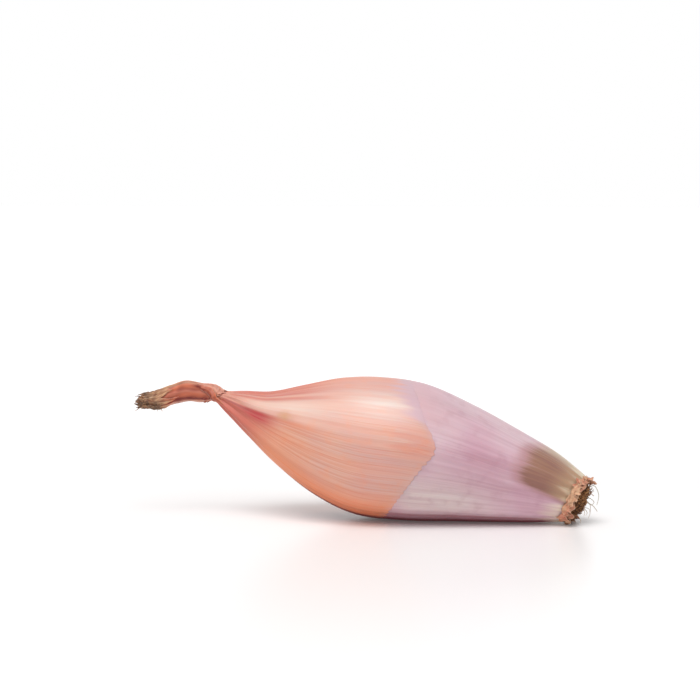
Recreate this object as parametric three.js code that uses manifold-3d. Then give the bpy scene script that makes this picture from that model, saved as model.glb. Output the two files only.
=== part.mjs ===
// A pink shallot of the long banana kind, dried for keeping and lying on its belly.
// Millimetres, +Z up. X runs along the bulb, with the root end at +X, and it lies on the plane Z = 0.
// Every main form is a loft of rings between an upper and a lower outline drawn in the side view.
// The bulb, its dried neck, the torn skin round the root end and the root plate are one solid each.
import * as THREE from "three";
import { mergeVertices } from "three/addons/utils/BufferGeometryUtils.js";
import Module from "manifold-3d";

const wasm = await Module();
wasm.setup();

// Side outlines as pairs of X and Z. Point 1 of the upper line faces point 1 of the lower line, and so on.
const bulbUpper = [
  [-41.6, 37.2], [-36, 37.1], [-28, 37.1], [-18, 39.1], [-7, 41.2], [5, 41.5],
  [18, 39.7], [32, 33.8], [46, 26.4], [57, 20.1], [65.7, 13.0],
];
const bulbLower = [
  [-45, 34.3], [-41.5, 30.8], [-35.1, 24.0], [-26.8, 15.9], [-15.4, 7.2], [-2.8, 1.4],
  [12, -0.2], [26, -0.1], [38, -0.05], [49.5, 0.1], [59, 0.45],
];
const neckUpper = [[-41.9, 37.5], [-45, 38.5], [-49, 38.9], [-54, 39.2], [-58, 38], [-62, 37.2], [-66.4, 36.4]];
const neckLower = [[-45.3, 34.6], [-47.2, 34.3], [-50, 34.4], [-54.2, 34.4], [-58, 33.2], [-62, 31.9], [-66.8, 32.2]];

const seamGap = 0.35; // clear space between solids that touch on the real bulb
const rootYaw = THREE.MathUtils.degToRad(10); // the root end turns this much towards -Y
const bulbRings = { around: 60, along: 50 };
const nib = { radius: 1.2, length: 2.4 }; // inner leaf that runs on from the bulb into the neck
const seat = { radius: 6.3, depth: 1.6 }; // shallow hollow that the root plate sits in
const collar = { thickness: 0.65, around: 72, perT: 94, lift: 0.45 }; // perT: mm along the skin for one unit of t
const plate = { radius: 5.6, height: 2.5, rootCircle: 4.7, cutRoots: 56, rootWidth: 0.8 };

// Repeatable random numbers between low and high.
function seeded(seed) {
  let state = seed;
  return (low, high) => {
    state = (state * 1664525 + 1013904223) % 4294967296;
    return low + ((high - low) * state) / 4294967296;
  };
}

const outline = (points) => new THREE.SplineCurve(points.map(([x, z]) => new THREE.Vector2(x, z)));
const vector = (x, y, z) => new THREE.Vector3(x, y, z);
const smooth = (low, high, x) => THREE.MathUtils.smoothstep(x, low, high);

// The ring at t between two outlines: its centre, its radius, and its up and side directions.
function ringBetween(upper, lower, t, yaw = 0, sideShift = 0) {
  const top = upper.getPoint(t);
  const low = lower.getPoint(t);
  const up = vector(top.x - low.x, 0, top.y - low.y).normalize();
  const side = vector(Math.sin(yaw), Math.cos(yaw), 0);
  return {
    centre: vector((top.x + low.x) / 2, sideShift, (top.y + low.y) / 2),
    radius: top.distanceTo(low) / 2,
    up,
    side: side.addScaledVector(up, -side.dot(up)).normalize(),
  };
}

// A cylinder whose vertices are moved by place(t, angle, rho): t runs 0 to 1 along it, angle round it
// from up towards +Y, and rho is 1 on the skin and 0 at the middle of an end face.
function shaped(around, along, place) {
  const geometry = new THREE.CylinderGeometry(1, 1, 1, around, along);
  const position = geometry.attributes.position;
  for (let i = 0; i < position.count; i++) {
    const x = position.getX(i);
    const z = position.getZ(i);
    const point = place(0.5 - position.getY(i), Math.atan2(x, z), Math.hypot(x, z));
    position.setXYZ(i, point.x, point.y, point.z);
  }
  return geometry;
}

function solid(geometry) {
  const bare = new THREE.BufferGeometry();
  bare.setAttribute("position", geometry.attributes.position);
  bare.setIndex(geometry.index);
  const merged = mergeVertices(bare, 1e-4);
  return new wasm.Manifold(
    new wasm.Mesh({
      numProp: 3,
      vertProperties: merged.attributes.position.array,
      triVerts: new Uint32Array(merged.index.array),
    }),
  );
}

function meshOf(body, name, colour, roughness) {
  const { numProp, vertProperties, triVerts } = body.getMesh();
  const position = new Float32Array((vertProperties.length / numProp) * 3);
  for (let i = 0; i < position.length / 3; i++) {
    position.set(vertProperties.subarray(i * numProp, i * numProp + 3), i * 3);
  }
  const geometry = new THREE.BufferGeometry();
  geometry.setAttribute("position", new THREE.BufferAttribute(position, 3));
  geometry.setIndex(new THREE.BufferAttribute(triVerts, 1));
  geometry.computeVertexNormals();
  const mesh = new THREE.Mesh(geometry, new THREE.MeshStandardMaterial({ color: colour, roughness, metalness: 0 }));
  mesh.name = name;
  return mesh;
}

const joined = (bodies) => bodies.reduce((whole, body) => whole.add(body));

// A strand along a curve, with a flat oval section: width lies along the across direction.
function strand(line, widthAt, thicknessAt, across, sides, steps) {
  return solid(
    shaped(sides, steps, (t, angle, rho) => {
      const along = line.getTangent(t);
      const wide = across.clone().addScaledVector(along, -across.dot(along)).normalize();
      const through = wide.clone().cross(along);
      return line
        .getPoint(t)
        .addScaledVector(wide, (rho * Math.cos(angle) * widthAt(t)) / 2)
        .addScaledVector(through, (rho * Math.sin(angle) * thicknessAt(t)) / 2);
    }),
  );
}

// Bulb

const bulbTop = outline(bulbUpper);
const bulbBottom = outline(bulbLower);
const bulbRing = (t) =>
  ringBetween(bulbTop, bulbBottom, t, rootYaw * smooth(0.6, 1, t), 0.9 * Math.sin(Math.PI * t));

// How far the skin stands off the plain ring: long soft facets, pleats that run into the throat
// and small creases that run into the root plate.
function skinRelief(t, angle, radius) {
  const facets = 0.3 * Math.sin(5 * angle + 0.6 - 1.2 * t) + 0.16 * Math.sin(8 * angle);
  const pleats = 0.085 * radius * Math.exp(-((t / 0.17) ** 2)) * Math.cos(12 * angle + 3 * t);
  const creases = 0.2 * smooth(0.9, 0.985, t) * Math.cos(20 * angle + 0.7);
  return facets * Math.sin(Math.PI * (0.06 + 0.88 * t)) + pleats + creases;
}

function skinPoint(t, angle, lift = 0, rho = 1) {
  const ring = bulbRing(t);
  const reach = rho * (ring.radius + skinRelief(t, angle, ring.radius) + lift);
  return ring.centre
    .clone()
    .addScaledVector(ring.up, reach * Math.cos(angle))
    .addScaledVector(ring.side, reach * Math.sin(angle));
}

// A round peg from a point along a direction, started a little behind the point.
function peg(from, direction, radius, length, behind) {
  const line = new THREE.LineCurve3(
    from.clone().addScaledVector(direction, -behind),
    from.clone().addScaledVector(direction, length),
  );
  const across = Math.abs(direction.z) < 0.9 ? vector(0, 0, 1) : vector(1, 0, 0);
  return strand(line, () => 2 * radius, () => 2 * radius, across, 20, 1);
}

const throat = bulbRing(0);
const neckWay = vector(-0.86, 0, 0.5).normalize(); // the way the inner leaf leaves the throat
const rootEnd = bulbRing(1);
const rootWay = rootEnd.side.clone().cross(rootEnd.up); // out of the root end, square to its face

function bulb() {
  const flesh = solid(shaped(bulbRings.around, bulbRings.along, (t, angle, rho) => skinPoint(t, angle, 0, rho)));
  const innerLeaf = peg(throat.centre, neckWay, nib.radius, nib.length, 3);
  const hollow = peg(rootEnd.centre, rootWay.clone().negate(), seat.radius, seat.depth, 3);
  const table = new THREE.BoxGeometry(200, 200, 20).translate(0, 0, -10);
  return flesh.add(innerLeaf).subtract(hollow).subtract(solid(table));
}

// Dried neck

const neckTop = outline(neckUpper);
const neckBottom = outline(neckLower);
const neckRing = (t) => ringBetween(neckTop, neckBottom, t, 0, 0.8 * Math.sin(2.6 * t) - 1.6 * t * t);

function neckPoint(t, angle, rho = 1) {
  const ring = neckRing(t);
  const folds = 1 + 0.13 * Math.cos(6 * angle + 3.2 * t) + 0.09 * Math.cos(9 * angle - 4 * t + 1);
  const flatness = THREE.MathUtils.lerp(0.98, 0.66, smooth(0, 0.35, t));
  const narrowed = 1 - 0.3 * smooth(0.86, 1, t);
  const reach = rho * ring.radius * folds * narrowed;
  return ring.centre
    .clone()
    .addScaledVector(ring.up, reach * Math.cos(angle))
    .addScaledVector(ring.side, -reach * flatness * Math.sin(angle));
}

// Frayed ends of the dried leaves: where each starts and ends, how wide it is, and how far it bows in Y.
const frays = [
  { from: [-61, -0.6, 35.8], to: [-67.2, -1.6, 36.9], width: 2.1, bow: -0.5 },
  { from: [-61, 0.8, 34.8], to: [-68.4, 1.3, 35.4], width: 2.2, bow: 0.8 },
  { from: [-61, -0.9, 34.2], to: [-68.2, -2.4, 33.4], width: 2.0, bow: -0.9 },
  { from: [-61, 0.4, 33.4], to: [-67.6, 0.2, 31.2], width: 2.2, bow: 0.6 },
  { from: [-59, -0.5, 33.4], to: [-64.6, -1.2, 29.6], width: 2.1, bow: -0.8 },
  { from: [-59, 0.6, 36.2], to: [-65.6, 1.9, 37.9], width: 1.8, bow: 0.7 },
  { from: [-58, 0.9, 33.6], to: [-62.4, 1.4, 29.9], width: 1.8, bow: 0.5 },
  { from: [-61, 0.0, 35.0], to: [-69.6, -0.6, 34.3], width: 1.4, bow: 0.2 },
];

// Loose sheaths that lie along the neck: a pale one below, one over the top, and the small torn
// flap that stands up where the neck is pinched.
const sheaths = [
  { points: [[-46.5, -0.6, 35.2], [-51, -1.4, 34.4], [-56, -1.5, 33.8], [-60.5, -1.9, 31.9], [-62.6, -2.1, 30.9]], width: 2.2 },
  { points: [[-44.6, 0.4, 37.3], [-49, 1.2, 38.3], [-54, 1.3, 38.5], [-59, 1.6, 37.2], [-63, 2.2, 37.6]], width: 2.4 },
  { points: [[-49.5, -0.9, 37.4], [-47, -1.8, 37.7], [-44.5, -1.5, 37.9], [-42.6, -0.8, 39.0]], width: 2.3 },
];
const bladeThickness = 0.8;

function dryNeck() {
  const stalk = solid(shaped(30, 26, neckPoint));
  const socket = peg(throat.centre, neckWay, nib.radius + seamGap, nib.length + seamGap, 3);
  const taper = (width) => (t) => width * (1 - 0.72 * t * t);
  const blades = frays.map(({ from, to, width, bow }) => {
    const [start, end] = [vector(...from), vector(...to)];
    const middle = start.clone().lerp(end, 0.55).add(vector(0, bow, 0.35));
    const line = new THREE.QuadraticBezierCurve3(start, middle, end);
    return strand(line, taper(width), () => bladeThickness, vector(0, 0.35, 1), 6, 5);
  });
  const loose = sheaths.map(({ points, width }) => {
    const line = new THREE.CatmullRomCurve3(points.map((p) => vector(...p)));
    return strand(line, taper(width), () => bladeThickness, vector(0, 0.5, 1), 6, 8);
  });
  return joined([stalk, ...blades, ...loose]).subtract(socket);
}

// Torn skin round the root end

// How far each torn edge reaches: back over the bulb, and out past its end. Where the bulb lies on
// the band, the whole band is past the bulb's end.
const underBulb = (angle) => smooth(0.76, 0.88, -Math.cos(angle));
const tornBack = (angle) => {
  const loose = 2.1 - 0.9 * Math.cos(angle) + 0.6 * Math.cos(5 * angle + 0.4) + 0.4 * Math.cos(11 * angle + 1.9);
  return THREE.MathUtils.lerp(loose, -0.5, underBulb(angle));
};
const curl = (angle) => 1.3 * Math.exp(-((angle / 0.3) ** 2)); // longer flap on top
const tornOut = (angle) =>
  2.1 - 0.6 * Math.cos(angle) + 0.4 * Math.cos(7 * angle + 0.8) + 0.35 * Math.cos(13 * angle + 2.1) + curl(angle);

function collarPoint(angle, q, lift) {
  const distance = THREE.MathUtils.lerp(-tornOut(angle), tornBack(angle), q);
  const crumple = 0.16 * (1 + Math.cos(9 * angle + 5 * q)) + 0.12 * (1 + Math.cos(16 * angle - 4 * q));
  const pressed = smooth(0.2, 0.9, -Math.cos(angle)); // the lower side is pressed flat by the bulb
  const stand = lift + crumple * (1 - 0.9 * pressed);
  const past = Math.min(0, distance);
  const flare = 0.12 * Math.cos(3 * angle + 1) * past * (1 - pressed);
  const point = skinPoint(1 - Math.max(0, distance) / collar.perT, angle, stand + flare + 0.25 * past);
  point.addScaledVector(rootWay, -past);
  const lowest = 0.1 + collar.lift + collar.thickness - lift;
  return point.addScaledVector(rootEnd.up, Math.max(0, lowest - point.z) / rootEnd.up.z);
}

function tornSkin() {
  const rows = 5; // points across the band, on its outer and on its inner face
  const geometry = new THREE.TorusGeometry(2, 1, 2 * rows, collar.around);
  const { position, uv } = geometry.attributes;
  for (let i = 0; i < position.count; i++) {
    const row = Math.round(uv.getY(i) * 2 * rows) % (2 * rows);
    const outer = row < rows;
    const q = (outer ? row : 2 * rows - 1 - row) / (rows - 1);
    const turn = Math.round(uv.getX(i) * collar.around) % collar.around;
    const angle = (turn / collar.around) * 2 * Math.PI;
    const signed = angle > Math.PI ? angle - 2 * Math.PI : angle;
    const point = collarPoint(signed, q, collar.lift + (outer ? collar.thickness : 0));
    position.setXYZ(i, point.x, point.y, point.z);
  }
  return solid(geometry);
}

// Root plate and its roots

// A point of the root end: out along its way, and across it in polar form.
const rootPoint = (out, radius, angle) =>
  rootEnd.centre
    .clone()
    .addScaledVector(rootWay, out)
    .addScaledVector(rootEnd.up, radius * Math.cos(angle))
    .addScaledVector(rootEnd.side, radius * Math.sin(angle));

// The same for the middle of a root, which bends along the table and not into it.
function rootBend(out, radius, angle) {
  const point = rootPoint(out, radius, angle);
  point.z = Math.max(point.z, 0.6);
  return point;
}

const plateHeight = (share) => plate.height * Math.sqrt(Math.max(0, 1 - 0.92 * share * share)) - 0.4;

function rootPlate() {
  const base = -(seat.depth - seamGap);
  const dome = solid(
    shaped(30, 6, (t, angle, rho) => {
      const share = t < 0.2 ? 1 : Math.cos(((t - 0.2) / 0.8) * 1.25);
      const corky = 1 + 0.05 * Math.cos(7 * angle + 9 * t) * smooth(0.2, 0.5, t);
      const out = t < 0.1 ? base : plateHeight(share);
      return rootPoint(out, rho * plate.radius * share * corky, angle);
    }),
  );
  const random = seeded(7);
  const goldenTurn = Math.PI * (3 - Math.sqrt(5));
  const roots = Array.from({ length: plate.cutRoots }, (_, i) => {
    const share = Math.sqrt((i + 0.5) / plate.cutRoots);
    const angle = i * goldenTurn;
    const start = plateHeight(share * 0.9) - 0.9;
    const length = random(1.3, 2.9);
    const turn = random(-0.8, 0.8);
    const foot = plate.rootCircle * share;
    const line = new THREE.QuadraticBezierCurve3(
      rootPoint(start, foot, angle),
      rootBend(start + 0.65 * length, foot + 0.2, angle + turn * 0.2),
      rootBend(start + length * random(0.75, 1), foot + 0.3 * length * share, angle + turn * 0.55),
    );
    const width = (t) => plate.rootWidth * (1 - 0.45 * t);
    return strand(line, width, width, rootEnd.up, 4, 4);
  });
  const longRoots = [
    [[0.6, 4.0, 0.2], [3.2, 5.0, 0.0], [5.4, 3.4, -0.3], [6.6, 1.0, -2.8]],
    [[1.2, 1.5, -2.6], [3.3, 0.6, -2.9], [5.1, 0.9, 3.1], [6.5, 1.9, 3.1]],
    [[1.0, 3.0, -2.6], [3.1, 3.9, -2.7], [4.2, 4.6, -2.8], [4.6, 5.6, -2.9]],
  ].map((points) => {
    const line = new THREE.CatmullRomCurve3(points.map(([out, radius, angle]) => rootBend(out, radius, angle)));
    const width = (t) => 0.75 - 0.15 * t;
    return strand(line, width, width, rootEnd.side, 4, 8);
  });
  return joined([dome, ...roots, ...longRoots]);
}

const shallot = new THREE.Group();
shallot.add(
  meshOf(bulb(), "bulb", 0xd2a39d, 0.45),
  meshOf(dryNeck(), "dry_neck", 0xb4714a, 0.75),
  meshOf(tornSkin(), "torn_skin", 0xc98f70, 0.75),
  meshOf(rootPlate(), "root_plate", 0x7b5838, 0.9),
);

// The origin is under the middle of the whole, on the plane that it lies on.
const middle = new THREE.Box3().setFromObject(shallot, true).getCenter(vector(0, 0, 0));
shallot.position.set(-middle.x, -middle.y, 0);

export default shallot;
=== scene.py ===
# A pink shallot lying on a pale table. Every surface is worked out in mm along the bulb's own outline,
# then put into the CAD frame in metres.
import math

import bpy
import numpy as np
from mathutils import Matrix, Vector


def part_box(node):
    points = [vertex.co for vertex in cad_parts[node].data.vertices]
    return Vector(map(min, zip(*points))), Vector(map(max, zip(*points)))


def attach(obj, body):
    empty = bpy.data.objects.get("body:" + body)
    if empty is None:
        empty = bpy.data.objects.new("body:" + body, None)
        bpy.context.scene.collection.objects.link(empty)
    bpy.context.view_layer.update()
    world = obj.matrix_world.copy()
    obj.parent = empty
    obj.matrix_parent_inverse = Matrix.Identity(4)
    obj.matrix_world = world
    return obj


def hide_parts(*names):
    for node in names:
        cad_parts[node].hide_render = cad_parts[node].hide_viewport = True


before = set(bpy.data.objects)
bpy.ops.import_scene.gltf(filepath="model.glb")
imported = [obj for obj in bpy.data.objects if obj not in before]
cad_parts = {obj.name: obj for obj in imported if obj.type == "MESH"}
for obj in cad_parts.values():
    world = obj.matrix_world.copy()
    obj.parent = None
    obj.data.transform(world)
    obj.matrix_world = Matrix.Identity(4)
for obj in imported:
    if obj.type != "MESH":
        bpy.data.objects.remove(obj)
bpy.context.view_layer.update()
print("frame loaded:", ", ".join(sorted(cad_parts)))

# Side outlines in mm, as X and Z. A point above faces the point with the same number below. Stations
# count along them: 0 is the throat, 10 the root end, and -1 to -8 lie along the dried neck.
outline = {
    "above": [
        (-71.5, 35.6), (-69, 36.0), (-66.4, 36.4), (-62, 37.2), (-58, 38), (-54, 39.2), (-49, 38.9),
        (-45, 38.5), (-41.6, 37.2), (-36, 37.1), (-28, 37.1), (-18, 39.1), (-7, 41.2), (5, 41.5),
        (18, 39.7), (32, 33.8), (46, 26.4), (57, 20.1), (65.7, 13.0),
    ],
    "below": [
        (-71.8, 33.0), (-69.3, 32.5), (-66.8, 32.2), (-62, 31.9), (-58, 33.2), (-54.2, 34.4), (-50, 34.4),
        (-47.2, 34.3), (-45, 34.3), (-41.5, 30.8), (-35.1, 24.0), (-26.8, 15.9), (-15.4, 7.2), (-2.8, 1.4),
        (12, -0.2), (26, -0.1), (38, -0.05), (49.5, 0.1), (59, 0.45),
    ],
    "neckPoints": 8,
    "rootTurn": 10,  # degrees that the root end turns towards -Y
    "stationLength": 11.5,  # mm along the bulb between two stations
    "rootStationLength": 9.4,  # the same near the root end
}


# Number helpers

def smoothStep(low, high, x):
    # 0 below low, 1 above high, and 3k^2 - 2k^3 between.
    k = np.clip((x - low) / (high - low), 0, 1)
    return k * k * (3 - 2 * k)


def bump(x, middle, width):
    # A bell of height 1: e to the minus squared distance in widths.
    return np.exp(-((x - middle) / width) ** 2)


def splineAt(points, place):
    # Uniform Catmull-Rom: each span is a cubic whose end slopes are half the step between its neighbours.
    p = np.asarray(points, float)
    place = np.asarray(place, float)
    span = np.clip(np.floor(place).astype(int), 0, len(p) - 2)
    w = (place - span)[..., None]
    before, start = p[np.maximum(span - 1, 0)], p[span]
    end, after = p[span + 1], p[np.minimum(span + 2, len(p) - 1)]
    slopeIn, slopeOut = (end - before) / 2, (after - start) / 2
    cubic = 2 * start - 2 * end + slopeIn + slopeOut
    square = -3 * start + 3 * end - 2 * slopeIn - slopeOut
    return ((cubic * w + square) * w + slopeIn) * w + start


def alongValues(values, u):
    # Smooth value at u, 0 to 1, through evenly spaced values.
    points = np.asarray(values, float)[:, None]
    return splineAt(points, np.asarray(u, float) * (len(values) - 1))[..., 0]


def ripples(angle, along, seed, turns, rate, count=7):
    # Sum of cosines with whole numbers of turns round, so that it closes: between -1 and 1 in most places.
    draw = np.random.default_rng(seed)
    total = 0 * angle + 0 * along
    for _ in range(count):
        waves = draw.integers(turns[0], turns[1] + 1)
        slope = draw.uniform(-rate, rate)
        total = total + np.cos(waves * angle + slope * along + draw.uniform(0, 2 * math.pi))
    return total / math.sqrt(count)


def grid(first, second):
    # Every value of the first list with every value of the second, as two grids.
    return np.meshgrid(first, second, indexing="ij")


def roundAngles(count):
    # Even steps once round, from -pi.
    return np.linspace(-math.pi, math.pi, count, endpoint=False)


# The shallot's own coordinates

def ringAt(station):
    # Ring across the shallot: middle, up, side and radius. Up runs from the lower to the upper outline.
    station = np.asarray(station, float)
    above = splineAt(outline["above"], station + outline["neckPoints"])
    below = splineAt(outline["below"], station + outline["neckPoints"])
    span = above - below
    radius = np.linalg.norm(span, axis=-1) / 2
    still = np.zeros_like(radius)
    up = np.stack([span[..., 0], still, span[..., 1]], -1) / (2 * radius)[..., None]
    turn = math.radians(outline["rootTurn"]) * smoothStep(6, 10, station)
    side = np.stack([np.sin(turn), np.cos(turn), still], -1)
    side = side - (side * up).sum(-1, keepdims=True) * up
    side = side / np.linalg.norm(side, axis=-1, keepdims=True)
    bulbShare, neckShare = np.clip(station / 10, 0, 1), np.clip(-station / 6, 0, 2)
    sway = 0.9 * np.sin(math.pi * bulbShare) + 0.8 * np.sin(2.6 * neckShare) - 1.6 * neckShare**2
    middle = (above + below) / 2
    middle = np.stack([middle[..., 0], sway, middle[..., 1]], -1)
    return middle, up, side, radius


def onRing(station, angle, reach):
    # Middle + up * reach * cos(angle) + side * reach * sin(angle), flatter sideways along the neck.
    middle, up, side, _ = ringAt(station)
    flat = 1 - 0.32 * smoothStep(0, 2.1, -np.asarray(station, float))
    across = up * (reach * np.cos(angle))[..., None] + side * (flat * reach * np.sin(angle))[..., None]
    return middle + across


def neckTwist(station):
    # The neck's folds turn by a quarter where they are pinched into the throat.
    return math.radians(-85) * smoothStep(-1.9, 0.7, station)


def foldShape(station, angle):
    # Round-topped folds with sharp valleys: sums of absolute sines, about -1 to 1.
    turned = angle - neckTwist(station)
    broad = np.abs(np.sin(2.5 * turned + 0.5 + 0.25 * np.sin(1.3 * station)))
    middle = np.abs(np.sin(4.5 * turned + 1.9 + 0.5 * np.sin(0.9 * station + 1)))
    fine = np.abs(np.sin(9.5 * turned + 0.4 + 0.7 * station))
    return 1.0 * (broad - 0.64) + 0.7 * (middle - 0.64) + 0.2 * (fine - 0.64)


def skinRelief(station, angle, radius):
    # How far the skin stands off the plain ring: long soft facets, pleats into the throat and creases
    # into the root plate, and on the neck the folds.
    t = np.clip(station / 10, 0, 1)
    facets = 0.3 * np.sin(5 * angle + 0.6 - 1.2 * t) + 0.16 * np.sin(8 * angle)
    pleats = 0.085 * radius * np.exp(-((t / 0.17) ** 2)) * np.cos(12 * angle + 3 * t)
    creases = 0.2 * smoothStep(0.9, 0.985, t) * np.cos(20 * angle + 0.7)
    onBulb = facets * np.sin(math.pi * (0.06 + 0.88 * t)) + pleats + creases
    onNeck = 0.2 * radius * foldShape(station, angle)
    return onBulb + (onNeck - onBulb) * smoothStep(0.9, -0.5, station)


def veinRelief(station, angle):
    # Long uneven ribs and fine ones between them, and a soft ridge along the front of the copper skin.
    ribs = np.cos(92 * angle + 0.8 * np.sin(3 * angle + 0.4 * station))
    uneven = ripples(angle, station, 5, (22, 66), 0.35, 11)
    ridge = bump(np.degrees(angle), -72 - 1.5 * (station - 3), 9) * smoothStep(0.6, 1.8, station)
    fine = (0.008 * ribs + 0.02 * uneven) * smoothStep(10, 9, station)
    return fine + 0.2 * ridge * smoothStep(6.2, 4.4, station)


# Meshes

def gridQuads(rows, columns, closedRows=False, closedColumns=False):
    # Four corners for each cell of a grid of points; a closed grid also joins its last line to its first.
    i, j = grid(np.arange(rows - (not closedRows)), np.arange(columns - (not closedColumns)))
    i, j = i.ravel(), j.ravel()
    nextI, nextJ = (i + 1) % rows, (j + 1) % columns
    corners = [i * columns + j, nextI * columns + j, nextI * columns + nextJ, i * columns + nextJ]
    return np.stack(corners, -1)


def sheetSolid(top, under, closedRows=False):
    # A thin closed sheet: two grids of points with the same shape, joined round their open borders.
    rows, columns = top.shape[:2]
    count = rows * columns
    number = np.arange(count).reshape(rows, columns)
    faces = [gridQuads(rows, columns, closedRows)]
    faces.append(faces[0][:, ::-1] + count)
    borders = [number[:, 0], number[::-1, -1]]
    if closedRows:
        borders = [np.append(border, border[0]) for border in borders]
    else:
        borders += [number[-1, :], number[0, ::-1]]
    for border in borders:
        a, b = border[:-1], border[1:]
        faces.append(np.stack([b, a, a + count, b + count], -1))
    return np.concatenate([asRows(top), asRows(under)]), np.concatenate(faces)


tubeSides = 6  # a strand is a hexagon across, so two quads close each end


def tubes(paths, radii):
    # Round strands along many paths at once: path + radius * (aside * cos + over * sin). Paths is strand,
    # step, XYZ.
    strands, steps = paths.shape[:2]
    way = np.gradient(paths, axis=1)
    way /= np.linalg.norm(way, axis=-1, keepdims=True) + 1e-9
    aside = np.cross(way, np.array([0.31, 0.52, 0.79]))
    aside /= np.linalg.norm(aside, axis=-1, keepdims=True) + 1e-9
    over = np.cross(way, aside)
    turn = np.linspace(0, 2 * math.pi, tubeSides, endpoint=False)
    ring = aside[:, :, None] * np.cos(turn)[:, None] + over[:, :, None] * np.sin(turn)[:, None]
    points = paths[:, :, None] + ring * radii[:, :, None, None]
    cap = np.array([[0, 1, 2, 3], [0, 3, 4, 5]])
    last = (steps - 1) * tubeSides
    oneTube = np.concatenate([gridQuads(steps, tubeSides, closedColumns=True), cap, last + cap[:, ::-1]])
    faces = oneTube[None] + np.arange(strands)[:, None, None] * steps * tubeSides
    return points.reshape(-1, 3), faces.reshape(-1, 4)


def joinParts(parts):
    # One list of points and one of faces from several, each face list moved past the points before it.
    points, faces, start = [], [], 0
    for partPoints, partFaces in parts:
        points.append(partPoints)
        faces.append(partFaces + start)
        start += len(partPoints)
    return np.concatenate(points), np.concatenate(faces)


def closedTube(points):
    # Faces of a tube whose last column meets its first, with a pole closing each end.
    rows, columns = points.shape[:2]
    ring = np.arange(columns)
    after = (ring + 1) % columns
    last = (rows - 1) * columns
    pole = np.full(columns, rows * columns)
    fans = [np.stack([pole, ring, after, pole], -1),
            np.stack([pole + 1, last + after, last + ring, pole + 1], -1)]
    flat = np.vstack([points.reshape(-1, 3), points[0].mean(0), points[-1].mean(0)])
    return flat, np.concatenate([gridQuads(rows, columns, closedColumns=True)] + fans)


def asRows(data):
    # A grid of numbers as one line of them, or a grid of points as a list of points.
    return data.reshape(-1, 3) if data.ndim == 3 else data.ravel()


def withPoles(data):
    # Values of a closed tube's points, with those of its two poles after them.
    return np.concatenate([asRows(data), [data[0].mean(0), data[-1].mean(0)]])


def bothFaces(data):
    # Values of a sheet's upper points, and the same for its lower ones.
    return np.concatenate([asRows(data)] * 2)


def pointValues(masks, fibre, spread):
    # Masks held between 0 and 1, and fibre coordinates, spread over a piece's points.
    values = {label: spread(np.clip(data, 0, 1)) for label, data in masks.items()}
    return {**values, "fibre": spread(fibre)}


def addObject(name, data):
    # A new object in the scene.
    item = bpy.data.objects.new(name, data)
    bpy.context.scene.collection.objects.link(item)
    return item


def makePiece(name, points, faces, material, values):
    # Puts points in mm and faces into a mesh in the CAD frame, with values such as tones stored per point.
    # Faces are turned over if the volume, the sum of a . (b x c) over the triangles, comes out below 0.
    corners = points[np.concatenate([faces[:, :3], faces[:, [0, 2, 3]]])]
    volume = np.einsum("ij,ij->i", corners[:, 0], np.cross(corners[:, 1], corners[:, 2])).sum()
    if volume < 0:
        faces = faces[:, ::-1]
    loops = [face if face[0] != face[3] else face[:3] for face in faces.tolist()]
    mesh = bpy.data.meshes.new(name)
    mesh.from_pydata((points + frameShift) / 1000, [], loops)
    for label, data in values.items():
        kind, key = ("FLOAT_VECTOR", "vector") if np.ndim(data) == 2 else ("FLOAT", "value")
        stored = mesh.attributes.new(label, kind, "POINT").data
        stored.foreach_set(key, np.ravel(data).astype(np.float32))
    mesh.shade_smooth()
    mesh.materials.append(material)
    mesh.update()
    print(f"{name}: {len(points)} points, {len(loops)} faces")
    return addObject(name, mesh)


def fibreCoords(station, angle):
    # Cylinder coordinates that close round the shallot: cosine, sine and station, drawn in along the neck.
    station = station + 0 * angle
    reach = 0.3 + 0.7 * smoothStep(-1.5, 1.2, station)
    return np.stack([reach * np.cos(angle), reach * np.sin(angle), station], -1)


# Materials

def colour(red, green, blue):
    # A screen colour of 0 to 255 made linear.
    share = np.array([red, green, blue]) / 255
    linear = np.where(share <= 0.04045, share / 12.92, ((share + 0.055) / 1.055) ** 2.4)
    return (*linear.tolist(), 1.0)


def feed(tree, sockets, inputs):
    # Links each named socket to an output, or sets it to a plain value.
    for label, value in inputs.items():
        if isinstance(value, bpy.types.NodeSocket):
            tree.links.new(value, sockets[label])
        else:
            sockets[label].default_value = value


def addNode(tree, kind, inputs, **settings):
    # A node with its settings; an input is a plain value or an output socket to link.
    node = tree.nodes.new(kind)
    for key, value in settings.items():
        setattr(node, key, value)
    feed(tree, node.inputs, inputs)
    return node


def calc(tree, operation, first, second=0.0, clamp=False):
    # One operation on two values or sockets.
    node = addNode(tree, "ShaderNodeMath", {0: first, 1: second}, operation=operation, use_clamp=clamp)
    return node.outputs[0]


def ramp(tree, value, low, high, outLow=0.0, outHigh=1.0):
    # Smooth change from outLow to outHigh while value goes from low to high.
    inputs = {"Value": value, "From Min": low, "From Max": high, "To Min": outLow, "To Max": outHigh}
    return addNode(tree, "ShaderNodeMapRange", inputs, interpolation_type="SMOOTHSTEP").outputs["Result"]


def blendColour(tree, factor, first, second):
    # The first colour at factor 0 and the second at 1.
    inputs = {0: factor, 6: first, 7: second}
    return addNode(tree, "ShaderNodeMix", inputs, data_type="RGBA", clamp_factor=True).outputs[2]


def attribute(tree, label, output="Fac"):
    # What a piece stores at its points under that label.
    return addNode(tree, "ShaderNodeAttribute", {}, attribute_name=label).outputs[output]


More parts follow.
